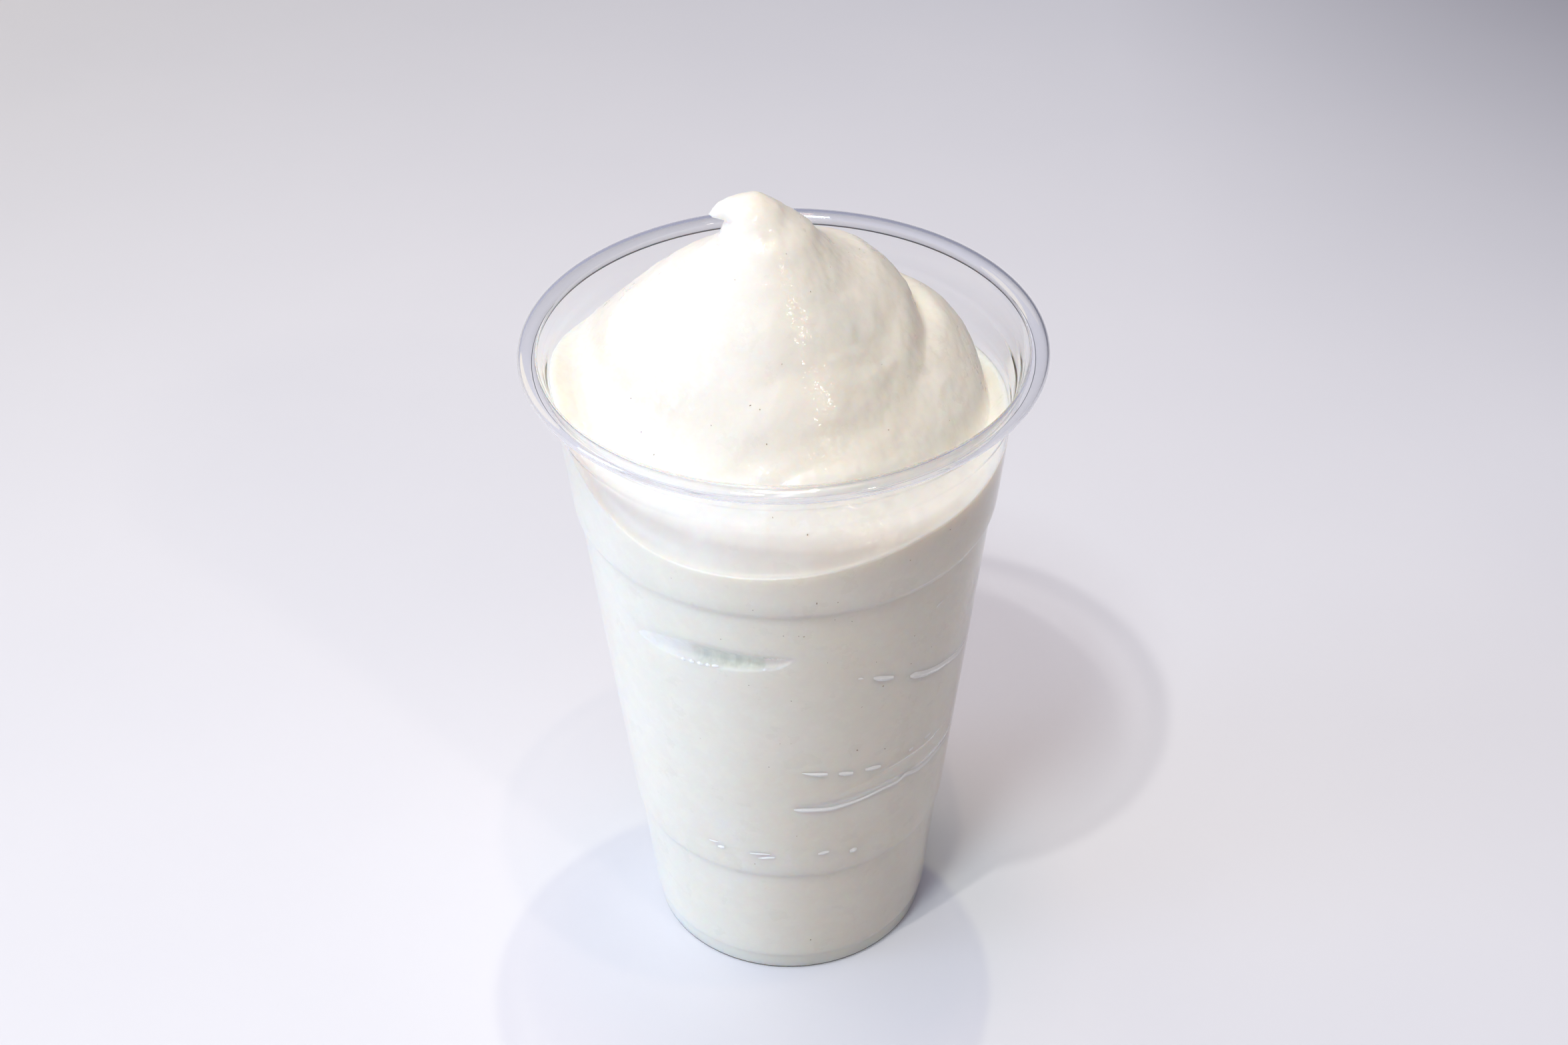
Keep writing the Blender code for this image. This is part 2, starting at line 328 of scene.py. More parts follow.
def cup_mesh():
    profile = cup_profile()
    theta = np.linspace(0.0, 2.0 * np.pi, CUP_TURN, endpoint=False)
    rings = []
    for r, z in profile:
        rings.append(np.stack([r * np.cos(theta), r * np.sin(theta), np.full_like(theta, z)], 1))
    mesh = rings_to_mesh("cup_clear", rings, bottom=(0.0, 0.0, PLATE_UNDER), top=(0.0, 0.0, PLATE_UNDER + SHEET))
    # Thin formed sheet is never quite true: both faces wander together by a few hundredths.
    p = get_points(mesh)
    r = np.hypot(p[:, 0], p[:, 1])
    unit = p[:, :2] / np.maximum(r, 1e-6)[:, None]
    sample = np.concatenate([unit * 38.0, p[:, 2:3] * 0.45], 1)
    wander = 0.04 * noise(sample, 9.0, 3) + 0.015 * noise(sample, 4.0, 4)
    mask = smooth((p[:, 2] - 8.0) / 10.0) * smooth((134.0 - p[:, 2]) / 6.0) * smooth((r - 26.0) / 2.0)
    p[:, :2] += unit * (wander * mask)[:, None]
    set_points(mesh, p)
    return mesh


# ---------------------------------------------------------------- the shake


def columns(count):
    """Azimuths of the columns, closer together in front."""
    u = np.arange(count) / count
    return -0.5 * np.pi + 2.0 * np.pi * u - 0.35 * np.sin(2.0 * np.pi * u)


def contact(theta):
    z = harmonic(theta, CONTACT)
    return wall_inside(z), z


def mound_height(theta, radius):
    crease_r = harmonic(theta, CREASE_RADIUS)
    crease_z = harmonic(theta, CREASE_HEIGHT)
    share = (crease_r - radius) / (crease_r - PEAK_BASE_RADIUS)
    front = np.maximum(0.0, -np.sin(theta))
    swell = 0.055 * (1.0 - front) * np.sin(np.pi * np.clip(share, 0.0, 1.0))
    cone = crease_z + (PEAK_BASE_HEIGHT - crease_z) * (share + swell)
    edge = crease_r + BULGE_OUT
    foot = crease_z - BULGE_DOWN
    x = np.clip((edge - radius) / (edge - GROOVE_RADIUS), 0.0, 1.0)
    lower = foot + (GROOVE_HEIGHT - foot) * (1.0 - (1.0 - x) ** 2.4) ** 0.62
    x = np.clip((GROOVE_RADIUS - radius) / (GROOVE_RADIUS - PEAK_BASE_RADIUS), 0.0, 1.0)
    upper = GROOVE_HEIGHT + (PEAK_BASE_HEIGHT - GROOVE_HEIGHT) * x**0.65
    layered = np.where(radius >= GROOVE_RADIUS, lower, upper)
    turn = (np.degrees(theta) - GROOVE_AZIMUTH + 180.0) % 360.0 - 180.0
    weight = smooth(1.0 - np.abs(turn) / GROOVE_SPREAD)
    high, azimuth, spread, middle, width = FULLNESS
    behind = (np.degrees(theta) - azimuth + 180.0) % 360.0 - 180.0
    lift = high * smooth(1.0 - np.abs(behind) / spread) * smooth((radius - PEAK_BASE_RADIUS) / 3.0)
    lift = lift * np.exp(-(((radius - middle) / width) ** 2))
    return cone + (layered - cone) * weight + lift


def skirt_height(theta, radius):
    wall_r, wall_z = contact(theta)
    crease_r = harmonic(theta, CREASE_RADIUS)
    crease_z = harmonic(theta, CREASE_HEIGHT)
    slope = (crease_z - wall_z) / (wall_r - crease_r)
    outer = wall_z + slope * (wall_r - radius)
    inner = crease_z + np.minimum(slope, 0.5) * (crease_r - radius)
    return np.where(radius >= crease_r, outer, inner)


def surface_ring(theta, share):
    """From the contact line on the wall (share 0) to the base of the peak (share 1)."""
    wall_r, wall_z = contact(theta)
    r = wall_r + (PEAK_BASE_RADIUS - wall_r) * share
    mound = mound_height(theta, r)
    skirt = skirt_height(theta, r)
    reach = VALLEY_ROUND * smooth(6.0 * share) + 1e-6
    overlap = np.maximum(reach - np.abs(mound - skirt), 0.0)
    z = np.maximum(mound, skirt) + overlap * overlap / (4.0 * reach)
    z = wall_z + (z - wall_z) * smooth(14.0 * share)
    shift = PEAK_BASE_SHIFT * smooth(share)
    return np.stack([shift + r * np.cos(theta), r * np.sin(theta), z], 1)


def spline(values, x):
    """Catmull-Rom through evenly spaced rows of values."""
    values = np.asarray(values, np.float64)
    n = len(values)
    i = int(min(max(math.floor(x), 0), n - 2))
    t = x - i
    p1, p2 = values[i], values[i + 1]
    p0 = values[i - 1] if i > 0 else 2.0 * p1 - p2
    p3 = values[i + 2] if i + 2 < n else 2.0 * p2 - p1
    return 0.5 * (
        2.0 * p1 + (p2 - p0) * t + (2.0 * p0 - 5.0 * p1 + 4.0 * p2 - p3) * t * t
        + (3.0 * p1 - p0 - 3.0 * p2 + p3) * t * t * t
    )


def peak_ring(theta, x):
    left_x, left_z, right_x, right_z = spline(PEAK_STATIONS, x)
    cx, cz = 0.5 * (left_x + right_x), 0.5 * (left_z + right_z)
    hx, hz = 0.5 * (right_x - left_x), 0.5 * (right_z - left_z)
    half = math.hypot(hx, hz)
    return np.stack([cx + hx * np.cos(theta), half * np.sin(theta), cz + hz * np.cos(theta)], 1)


def along(line, x, y):
    """For each point: the distance to the line in the top view, and the line's value there."""
    best = np.full(len(x), 1e9)
    value = np.zeros(len(x))
    for (x0, y0, v0), (x1, y1, v1) in zip(line, line[1:]):
        dx, dy = x1 - x0, y1 - y0
        t = np.clip(((x - x0) * dx + (y - y0) * dy) / (dx * dx + dy * dy), 0.0, 1.0)
        d = np.hypot(x - x0 - t * dx, y - y0 - t * dy)
        closer = d < best
        best = np.where(closer, d, best)
        value = np.where(closer, v0 + (v1 - v0) * t, value)
    return best, value


# Long air pocket against the wall: azimuth, lower lip, upper edge, depth.
POCKET = (
    (-156.0, 91.6, 97.0, 0.0), (-149.0, 90.2, 96.6, 0.04), (-142.8, 88.6, 95.6, 0.1), (-136.0, 88.6, 95.6, 0.16),
    (-130.0, 88.8, 95.8, 0.26), (-122.5, 89.3, 96.0, 0.5), (-118.5, 89.5, 96.0, 0.9), (-116.0, 89.6, 96.0, 1.5), (-110.5, 89.7, 95.9, 1.8),
    (-104.0, 90.1, 95.5, 1.8), (-97.0, 90.8, 95.0, 1.6), (-93.3, 91.4, 94.8, 1.2), (-90.5, 92.5, 94.5, 0.6),
    (-88.6, 93.6, 94.2, 0.0),
)

# Creases against the wall: points (azimuth, height, depth), then half widths above and below.
WALL_MARKS = (
    (((-54.0, 81.8, 0.0), (-51.6, 81.6, 0.25), (-46.0, 80.3, 0.3), (-35.5, 78.4, 0.3), (-20.4, 75.4, 0.3),
      (-8.0, 74.6, 0.25), (12.0, 76.0, 0.0)), 1.2, 0.6),
    (((-90.0, 52.6, 0.0), (-86.0, 52.2, 0.35), (-76.3, 52.1, 0.5), (-64.7, 52.9, 0.5), (-51.5, 53.2, 0.45),
      (-41.9, 52.6, 0.4), (-21.3, 52.0, 0.35), (-6.0, 52.0, 0.3), (10.0, 53.0, 0.0)), 1.3, 0.8),
    (((-78.0, 54.6, 0.0), (-72.7, 55.0, 0.1), (-65.0, 56.0, 0.16), (-56.9, 57.4, 0.2), (-47.5, 57.7, 0.2),
      (-30.0, 57.6, 0.18), (-8.0, 57.0, 0.0)), 1.4, 0.9),
)

# Painted reflection: thin white strips stand in for the bright reflection off films of trapped air; points (azimuth,
# height, breadth).
AIR_FILM_GLINTS = (
    ((-69.9, 86.5, 0.2), (-69.0, 86.3, 0.4), (-68.2, 86.2, 0.15)),
    ((-65.0, 85.4, 0.3), (-63.5, 84.9, 0.7), (-61.5, 84.4, 0.75), (-58.2, 83.6, 0.5)),
    ((-51.8, 81.5, 0.35), (-50.2, 81.2, 0.9), (-46.0, 79.9, 0.85), (-42.9, 79.3, 0.75), (-39.4, 78.5, 0.85),
     (-35.5, 77.9, 0.75), (-31.0, 77.0, 0.8), (-25.4, 75.8, 0.7), (-20.4, 74.9, 0.6), (-12.0, 74.0, 0.3)),
    ((-44.4, 96.6, 0.15), (-43.2, 97.0, 0.35), (-41.6, 97.2, 0.15)),
    ((-86.0, 62.5, 0.1), (-83.6, 62.0, 0.35), (-80.5, 61.6, 0.6), (-77.9, 61.4, 0.4)),
    ((-74.2, 60.9, 0.35), (-72.5, 60.6, 0.65), (-69.4, 60.1, 0.45)),
    ((-65.2, 60.0, 0.35), (-62.3, 59.7, 0.65), (-59.4, 59.3, 0.4)),
    ((-47.9, 59.4, 0.35), (-46.2, 59.5, 0.4)),
    ((-40.4, 59.7, 0.3), (-37.1, 59.7, 0.3)),
    ((-119.4, 38.5, 0.12), (-117.2, 38.6, 0.3), (-115.8, 38.8, 0.12)),
    ((-116.2, 37.4, 0.2), (-114.8, 37.5, 0.5), (-113.6, 37.7, 0.3)),
    ((-104.2, 37.7, 0.15), (-101.3, 37.8, 0.3), (-97.0, 38.0, 0.15)),
    ((-101.2, 36.5, 0.15), (-98.5, 36.8, 0.4), (-95.4, 37.1, 0.25)),
    ((-80.2, 37.7, 0.3), (-78.0, 37.8, 0.6), (-76.3, 37.9, 0.3)),
    ((-68.6, 36.4, 0.4), (-67.0, 36.5, 0.7), (-65.9, 36.5, 0.4)),
    ((-88.6, 51.8, 0.2), (-86.0, 51.5, 0.55), (-76.3, 50.9, 0.5), (-64.7, 51.6, 0.4), (-58.0, 52.1, 0.4),
     (-51.5, 51.9, 0.4), (-48.2, 52.7, 0.6), (-41.9, 51.4, 0.5), (-34.1, 51.2, 0.5), (-21.3, 50.9, 0.45), (-8.0, 50.9, 0.2)),
    ((-121.0, 89.7, 0.2), (-120.3, 89.8, 0.45), (-119.6, 89.8, 0.2)),
    ((-118.4, 89.8, 0.2), (-117.7, 89.9, 0.5), (-116.9, 89.9, 0.25)),
    ((-115.9, 89.9, 0.25), (-115.0, 90.0, 0.5), (-114.2, 90.0, 0.2)),
    ((-113.3, 90.1, 0.2), (-112.6, 90.2, 0.4), (-111.9, 90.2, 0.2)),
    ((-111.4, 90.3, 0.2), (-110.6, 90.4, 0.45), (-109.4, 90.5, 0.2)),
    ((-96.8, 91.1, 0.15), (-96.3, 91.2, 0.4), (-95.7, 91.3, 0.15)),
)

# Vanilla specks: on the wall as (azimuth, height, size), on the mound as (x, y, size).
WALL_SPECKS = (
    (-44.9, 116.4, 0.26), (-57.7, 113.9, 0.28), (-82.5, 108.7, 0.36), (-77.1, 108.3, 0.25), (-98.6, 107.1, 0.2),
    (-120.1, 111.0, 0.16), (-72.7, 102.1, 0.2), (-77.4, 103.3, 0.18), (-85.6, 99.8, 0.3), (-87.0, 100.0, 0.18),
    (-91.0, 100.2, 0.2), (-108.1, 97.8, 0.2), (-61.5, 82.3, 0.34), (-52.1, 85.1, 0.24), (-64.5, 89.6, 0.2),
    (-52.1, 92.4, 0.26), (-44.1, 86.3, 0.22), (-101.0, 86.7, 0.22), (-89.1, 82.9, 0.22), (-79.0, 92.4, 0.16),
    (-68.0, 78.4, 0.22), (-68.5, 66.5, 0.34), (-58.5, 64.0, 0.32), (-96.2, 64.3, 0.22), (-92.6, 71.1, 0.16),
    (-89.3, 71.1, 0.16), (-118.0, 68.7, 0.16), (-102.6, 34.5, 0.26), (-82.2, 9.6, 0.34), (-87.7, 43.8, 0.2),
    (150.0, 96.0, 0.28), (128.0, 81.0, 0.22), (104.0, 102.0, 0.3), (86.0, 63.0, 0.24), (71.0, 91.0, 0.2),
    (47.0, 74.0, 0.3), (28.0, 98.0, 0.22), (10.0, 58.0, 0.26), (-12.0, 88.0, 0.22), (112.0, 41.0, 0.22),
    (58.0, 35.0, 0.26), (-171.0, 47.0, 0.22), (160.0, 24.0, 0.2), (33.0, 18.0, 0.2),
)
MOUND_SPECKS = (
    (4.9, -10.7, 0.2), (-0.3, -19.1, 0.22), (-6.0, -22.7, 0.26), (-4.3, -23.4, 0.22), (-13.0, -22.9, 0.18),
    (-3.2, -26.5, 0.24), (14.1, 6.4, 0.24), (12.0, 3.0, 0.18), (8.5, -4.5, 0.18),
    (30.2, -11.8, 0.18), (17.6, -12.7, 0.16), (18.6, -20.4, 0.2), (0.7, -7.8, 0.16),
    (-25.8, -18.0, 0.3), (-23.5, -21.7, 0.24), (-27.7, -13.0, 0.22), (-8.4, -9.7, 0.16), (-2.3, -34.5, 0.24),
    (3.8, -36.5, 0.3), (-3.0, 26.0, 0.22), (10.0, 24.0, 0.24), (-14.0, 29.0, 0.2),
)


def wall_recess(azimuth, z):
    """How far the shake stands back from the wall."""
    table = np.array(POCKET)
    lower = np.interp(azimuth, table[:, 0], table[:, 1])
    upper = np.interp(azimuth, table[:, 0], table[:, 2])
    deepest = np.interp(azimuth, table[:, 0], table[:, 3], left=0.0, right=0.0)
    v = (z - lower) / (upper - lower)
    depth = deepest * smooth(v / 0.3) * (1.0 - smooth((v - 0.35) / 0.65))
    pocket = np.where((v > 0.0) & (v < 1.0), depth, 0.0)
    depth = pocket.copy()
    for line, above, below in WALL_MARKS:
        az = np.array([p[0] for p in line])
        hz = np.array([p[1] for p in line])
        dz = np.array([p[2] for p in line])
        level = np.interp(azimuth, az, hz)
        deepest = np.interp(azimuth, az, dz, left=0.0, right=0.0)
        off = z - level
        shape = np.where(off > 0.0, off / above, -off / below)
        depth += deepest * (1.0 - smooth(shape)) * (shape < 1.0)
    return depth, pocket


def shake_levels():
    """Heights of the rows on the wall, close together at marks and steps."""
    levels = []
    z = 5.2
    while z < 106.0:
        levels.append(z)
        step = 2.4
        if 86.9 < z < 96.6:
            step = 0.4
        elif 73.4 < z < 82.4:
            step = 0.4
        elif 50.0 < z < 58.6:
            step = 0.36
        elif 29.6 < z < 32.4 or z > 103.8:
            step = 0.3
        elif 28.5 < z < 35.0 or z > 102.5:
            step = 0.8
        elif z < 8.0:
            step = 0.6
        z += step
    return levels


COLUMNS = 352


# The underside from the middle outwards, down into the hollow foot and up to the wall.
UNDERSIDE = (
    (5.0, 4.42), (13.0, 4.42), (21.0, 4.42), (24.6, 4.4), (25.05, 4.15), (25.38, 3.5), (25.7, 2.0), (25.95, 0.85),
    (26.4, 0.44), (27.5, 0.42), (27.95, 0.62), (28.08, 1.0), (28.2, 2.2), (28.35, 3.4), (28.45, 4.0), (28.62, 4.35),
    (28.78, 4.7),
)


def shake_mesh():
    theta = columns(COLUMNS)
    half = theta[::2]
    quarter = half[::2]
    body = []
    for radius, height in UNDERSIDE:
        body.append(np.stack([radius * np.cos(theta), radius * np.sin(theta), np.full_like(theta, height)], 1))
    for z in shake_levels():
        r = wall_inside(z) + INTO_WALL
        body.append(np.stack([r * np.cos(theta), r * np.sin(theta), np.full_like(theta, z)], 1))
    wall_r, wall_z = contact(theta)
    top = 106.0
    for share in np.linspace(0.0, 1.0, 22):
        z = top + (wall_z - top) * share
        r = wall_inside(z) + INTO_WALL
        body.append(np.stack([r * np.cos(theta), r * np.sin(theta), z], 1))
    # From the wall over the skirt and up the mound.
    shares = []
    s = 0.006
    while s < 0.999:
        shares.append(s)
        s += 0.009 if s < 0.75 else 0.012
    upper = []
    for s in shares:
        t = theta if s < 0.62 else half
        upper.append(surface_ring(t, s))
    peak = []
    x = 0.0
    while x < len(PEAK_STATIONS) - 1.0:
        peak.append(peak_ring(half if x < 1.2 else quarter, x))
        x += 0.16
    peak.append(peak_ring(quarter, len(PEAK_STATIONS) - 1.0))
    last = peak[-1]
    tip = np.array([PEAK_TIP[0], 0.0, PEAK_TIP[1]])
    for t in (0.4, 0.75):
        peak.append(last + (tip - last) * (1.0 - math.sqrt(1.0 - t * t)))
    return rings_to_mesh("shake", body + upper + peak, bottom=(0.0, 0.0, UNDERSIDE[0][1]), top=tuple(tip))


def soften(mesh, weight, times):
    """Relaxes the points towards their neighbours where weight is above 0."""
    p = get_points(mesh)
    ends = np.empty(len(mesh.edges) * 2, np.int32)
    mesh.edges.foreach_get("vertices", ends)
    ends = ends.reshape(-1, 2)
    share = weight(p)
    ends = ends[(share[ends[:, 0]] > 0.0) | (share[ends[:, 1]] > 0.0)]
    a = np.concatenate([ends[:, 0], ends[:, 1]])
    b = np.concatenate([ends[:, 1], ends[:, 0]])
    count = np.maximum(np.bincount(a, minlength=len(p)), 1)
    for _ in range(times):
        mean = np.stack([np.bincount(a, p[b, k], len(p)) / count for k in range(3)], 1)
        p += (0.6 * share)[:, None] * (mean - p)
    set_points(mesh, p)


def near_peak_base(p):
    reach = np.hypot(p[:, 0] - PEAK_BASE_SHIFT, p[:, 1])
    return smooth((20.0 - reach) / 4.0) * smooth((161.5 - p[:, 2]) / 2.5) * smooth((p[:, 2] - 150.0) / 2.0)


def detail_shake(mesh):
    soften(mesh, near_peak_base, 160)
    p = get_points(mesh)
    n = get_normals(mesh)
    r = np.hypot(p[:, 0], p[:, 1])
    theta = np.arctan2(p[:, 1], p[:, 0])
    wall_z = harmonic(theta, CONTACT)
    on_wall = (np.abs(r - wall_inside(p[:, 2]) - INTO_WALL) < 0.05) & (p[:, 2] > 5.0) & (p[:, 2] < wall_z + 0.05)
    free = (~on_wall) & (p[:, 2] > 110.0)
    inward = np.where(free, wall_inside(np.minimum(p[:, 2], 136.0)) - r, 0.0)
    mask = np.where(free, smooth(inward / 3.0), 0.0)

    # -- relief of the mound
    folds = np.zeros(len(p))
    # Painted shade: this mask makes the creases darker and yellow-brown along their lines, where shade falls.
    crease_shade_mask = np.zeros(len(p))
    x, y = p[:, 0], p[:, 1]
    bend = 0.7 * noise(np.stack([x, y, 0.0 * x], 1), 5.0, 21)
    for line, width in CREASES:
        d, v = along(line, x + 0.4 * bend, y - 0.4 * bend)
        shape = np.exp(-((d / width) ** 2)) - 0.35 * np.exp(-(((d - 2.1 * width) / (1.1 * width)) ** 2))
        folds += v * shape
        crease_shade_mask = np.maximum(crease_shade_mask, v * np.exp(-((d / (1.3 * width)) ** 2)))
    swell = 0.24 * noise(p, 12.0, 7)
    # Fine lines that the pour drew round the mound.
    cx = p[:, 0] + 2.6
    turn = np.arctan2(p[:, 1], cx)
    reach = np.hypot(cx, p[:, 1])
    drawn = np.stack([turn * 2.2, reach * 0.25 + p[:, 2] * 0.7 + turn * 1.3, np.zeros(len(p))], 1)
    strokes = noise(drawn * np.array([1.0, 1.0, 1.0]), 1.0, 9) + 0.6 * noise(drawn * np.array([1.6, 2.1, 1.0]), 1.0, 10)
    right = smooth((np.cos(turn - math.radians(20.0)) + 0.25) / 0.9)
    strokes = strokes * (0.03 + 0.06 * right) * smooth((np.pi - np.abs(turn)) / 0.5)
    behind = smooth((np.sin(turn) + 0.35) / 0.8)
    porous = np.maximum(right, behind)
    lumps = (0.1 + 0.08 * porous) * noise(p, 5.0, 8) + (0.06 + 0.07 * porous) * noise(p, 2.4, 5)
    lumps += (0.03 + 0.045 * porous) * noise(p, 1.25, 6)
    height = (lumps + swell + strokes) * mask - 1.4 * folds * mask
    high = np.where(free, smooth((p[:, 2] - 160.0) / 5.0), 0.0)
    height += high * (0.13 * noise(p, 2.6, 31) + 0.05 * noise(p, 1.3, 32))
    p += n * height[:, None]
    p[:, 2] = np.minimum(p[:, 2], TOP - 0.02)

    # -- marks on the wall
    azimuth = np.degrees(theta)
    azimuth = np.where(azimuth > 90.0, azimuth - 360.0, azimuth)
    back, pocket = wall_recess(azimuth, p[:, 2])
    back = back * on_wall
    keep = 1.0 - back / np.maximum(r, 1e-6)
    p[:, 0] *= np.where(on_wall, keep, 1.0)
    p[:, 1] *= np.where(on_wall, keep, 1.0)
    set_points(mesh, p)

    # Painted shade along the creases, used to darken the colour there.
    layer = mesh.attributes.new("crease_shade", "FLOAT", "POINT")
    layer.data.foreach_set("value", np.clip(crease_shade_mask * mask, 0.0, 1.0).astype(np.float32))
    # Painted shade: just inside the wall, under the rim, the shake is painted a darker, wetter colour, also the look of
    # melt that has sunk there.
    crease_r = harmonic(theta, CREASE_RADIUS)
    settled_and_shaded = np.where(free, smooth((r - crease_r + 1.5) / 3.0), 0.0)
    layer = mesh.attributes.new("settled_and_shaded", "FLOAT", "POINT")
    layer.data.foreach_set("value", settled_and_shaded.astype(np.float32))
    # Painted shade: over part of the pocket the shake is painted a darker grey-green, a dark reflection seen through
    # the trapped air.
    pocket_shade = smooth(pocket / 0.9) * smooth((azimuth + 119.0) / 4.0) * smooth((-96.0 - azimuth) / 0.7) * on_wall
    layer = mesh.attributes.new("pocket_shade", "FLOAT", "POINT")
    layer.data.foreach_set("value", pocket_shade.astype(np.float32))


def ribbon(line, points, faces):
    """A thin white strip along the wall, a painted reflection of a trapped air film, whose broad face looks up and out.
    """
    az = np.array([q[0] for q in line])
    t = np.linspace(0.0, 1.0, max(5, int(abs(az[-1] - az[0]) * 0.65 / 0.35) + 2))
    key = (az - az[0]) / (az[-1] - az[0])
    a = np.radians(az[0] + (az[-1] - az[0]) * t)
    z = np.interp(t, key, [q[1] for q in line])
    broad = np.interp(t, key, [q[2] for q in line])
    kernel = np.array([0.25, 0.5, 0.25])
    if len(t) > 8:
        z[1:-1] = np.convolve(z, kernel, "valid")
        broad[1:-1] = np.convolve(broad, kernel, "valid")
    section = ((-0.03, 0.62), (0.34, -0.05), (0.3, -0.5), (-0.03, -0.62))
    base = len(points)
    n = len(section)
    for i in range(len(t)):
        squeeze = min(1.0, broad[i] / 0.6)
        for out, rise in section:
            height = z[i] + rise * 1.75 * broad[i]
            r = float(wall_inside(height)) + INTO_WALL + out * squeeze
            points.append((r * math.cos(a[i]), r * math.sin(a[i]), height))
    for i in range(len(t) - 1):
        for j in range(n):
            k = (j + 1) % n
            faces.append((base + i * n + j, base + i * n + k, base + (i + 1) * n + k, base + (i + 1) * n + j))
    faces.append(tuple(base + j for j in range(n))[::-1])
    faces.append(tuple(base + (len(t) - 1) * n + j for j in range(n)))


def mesh_from(name, points, faces):
    mesh = bpy.data.meshes.new(name)
    mesh.from_pydata((np.array(points) * MM).tolist(), [], faces)
    mesh.update()
    mesh.shade_smooth()
    return mesh


def speck_points(centre, normal, size, seed, points, faces):
    """A tiny flattened uneven grain lying on the surface."""
    normal = Vector(normal).normalized()
    side = normal.orthogonal().normalized()
    cross = normal.cross(side)
    turn = 2.4 * seed
    side, cross = side * math.cos(turn) + cross * math.sin(turn), cross * math.cos(turn) - side * math.sin(turn)
    base = len(points)
    stretch = 1.0 + 0.5 * abs(math.sin(1.7 * seed))
    rings = ((-0.35, 0.7), (0.0, 1.0), (0.3, 0.75))
    n = 9
    points.append(tuple(Vector(centre) - normal * 0.5 * size * 0.5))
    for h, w in rings:
        for i in range(n):
            b = 2.0 * math.pi * i / n
            rough = 1.0 + 0.22 * math.sin(3.1 * i + 5.3 * seed) + 0.12 * math.sin(7.7 * i + seed)
            q = Vector(centre) + normal * h * size * 0.5
            q += side * (0.5 * size * w * stretch * rough * math.cos(b)) + cross * (0.5 * size * w / stretch * rough * math.sin(b))
            points.append(tuple(q))
    points.append(tuple(Vector(centre) + normal * 0.42 * size * 0.5))
    for i in range(n):
        j = (i + 1) % n
        faces.append((base, base + 1 + j, base + 1 + i))
        for k in range(len(rings) - 1):
            lo = base + 1 + k * n
            faces.append((lo + i, lo + j, lo + n + j, lo + n + i))
        last = base + 1 + (len(rings) - 1) * n
        faces.append((last + i, last + j, base + 1 + len(rings) * n))


def specks_mesh(shake_mesh_data):
    points, faces = [], []
    verts = get_points(shake_mesh_data)
    polys = [tuple(q.vertices) for q in shake_mesh_data.polygons]
    tree = BVHTree.FromPolygons([Vector(v) for v in verts], polys)
    seed = 1
    for azimuth, height, size in WALL_SPECKS:
        a = math.radians(azimuth)
        far = Vector((60.0 * math.cos(a), 60.0 * math.sin(a), height))
        hit, normal, _, _ = tree.ray_cast(far, Vector((-math.cos(a), -math.sin(a), 0.0)))
        speck_points(hit, normal, size, seed, points, faces)
        seed += 1
    for x, y, size in MOUND_SPECKS:
        hit, normal, _, _ = tree.ray_cast(Vector((x, y, 200.0)), Vector((0.0, 0.0, -1.0)))
        speck_points(hit, normal, size, seed, points, faces)
        seed += 1
    return mesh_from("specks", points, faces)


def glint_strips_mesh():
    points, faces = [], []
    for line in AIR_FILM_GLINTS:
        ribbon(line, points, faces)
    mesh = mesh_from("air_film_glints", points, faces)
    mesh.shade_flat()
    return mesh


# ---------------------------------------------------------------- materials


def nodes_of(name):
    material = bpy.data.materials.new(name)
    material.use_nodes = True
    tree = material.node_tree
    tree.nodes.clear()
    return material, tree


def node(tree, kind, **values):
    made = tree.nodes.new(kind)
    for key, value in values.items():
        if hasattr(made, key):
            setattr(made, key, value)
        else:
            made.inputs[key.replace("_", " ")].default_value = value
    return made


def noise_node(tree, coords, scale, detail=3.0, roughness=0.5):
    made = tree.nodes.new("ShaderNodeTexNoise")
    made.inputs["Scale"].default_value = scale
    made.inputs["Detail"].default_value = detail
    made.inputs["Roughness"].default_value = roughness
    tree.links.new(coords, made.inputs["Vector"])
    return made


def ramp(tree, source, low, high, low_value=0.0, high_value=1.0):
    made = tree.nodes.new("ShaderNodeMapRange")
    made.inputs["From Min"].default_value = low
    made.inputs["From Max"].default_value = high
    made.inputs["To Min"].default_value = low_value
    made.inputs["To Max"].default_value = high_value
    tree.links.new(source, made.inputs["Value"])
    return made.outputs["Result"]


def mix_colour(tree, factor, a, b):
    made = tree.nodes.new("ShaderNodeMix")
    made.data_type = "RGBA"
    if isinstance(factor, float):
        made.inputs[0].default_value = factor
    else:
        tree.links.new(factor, made.inputs[0])
    for socket, value in ((made.inputs[6], a), (made.inputs[7], b)):
        if isinstance(value, tuple):
            socket.default_value = (*value, 1.0)
        else:
            tree.links.new(value, socket)
    return made.outputs[2]


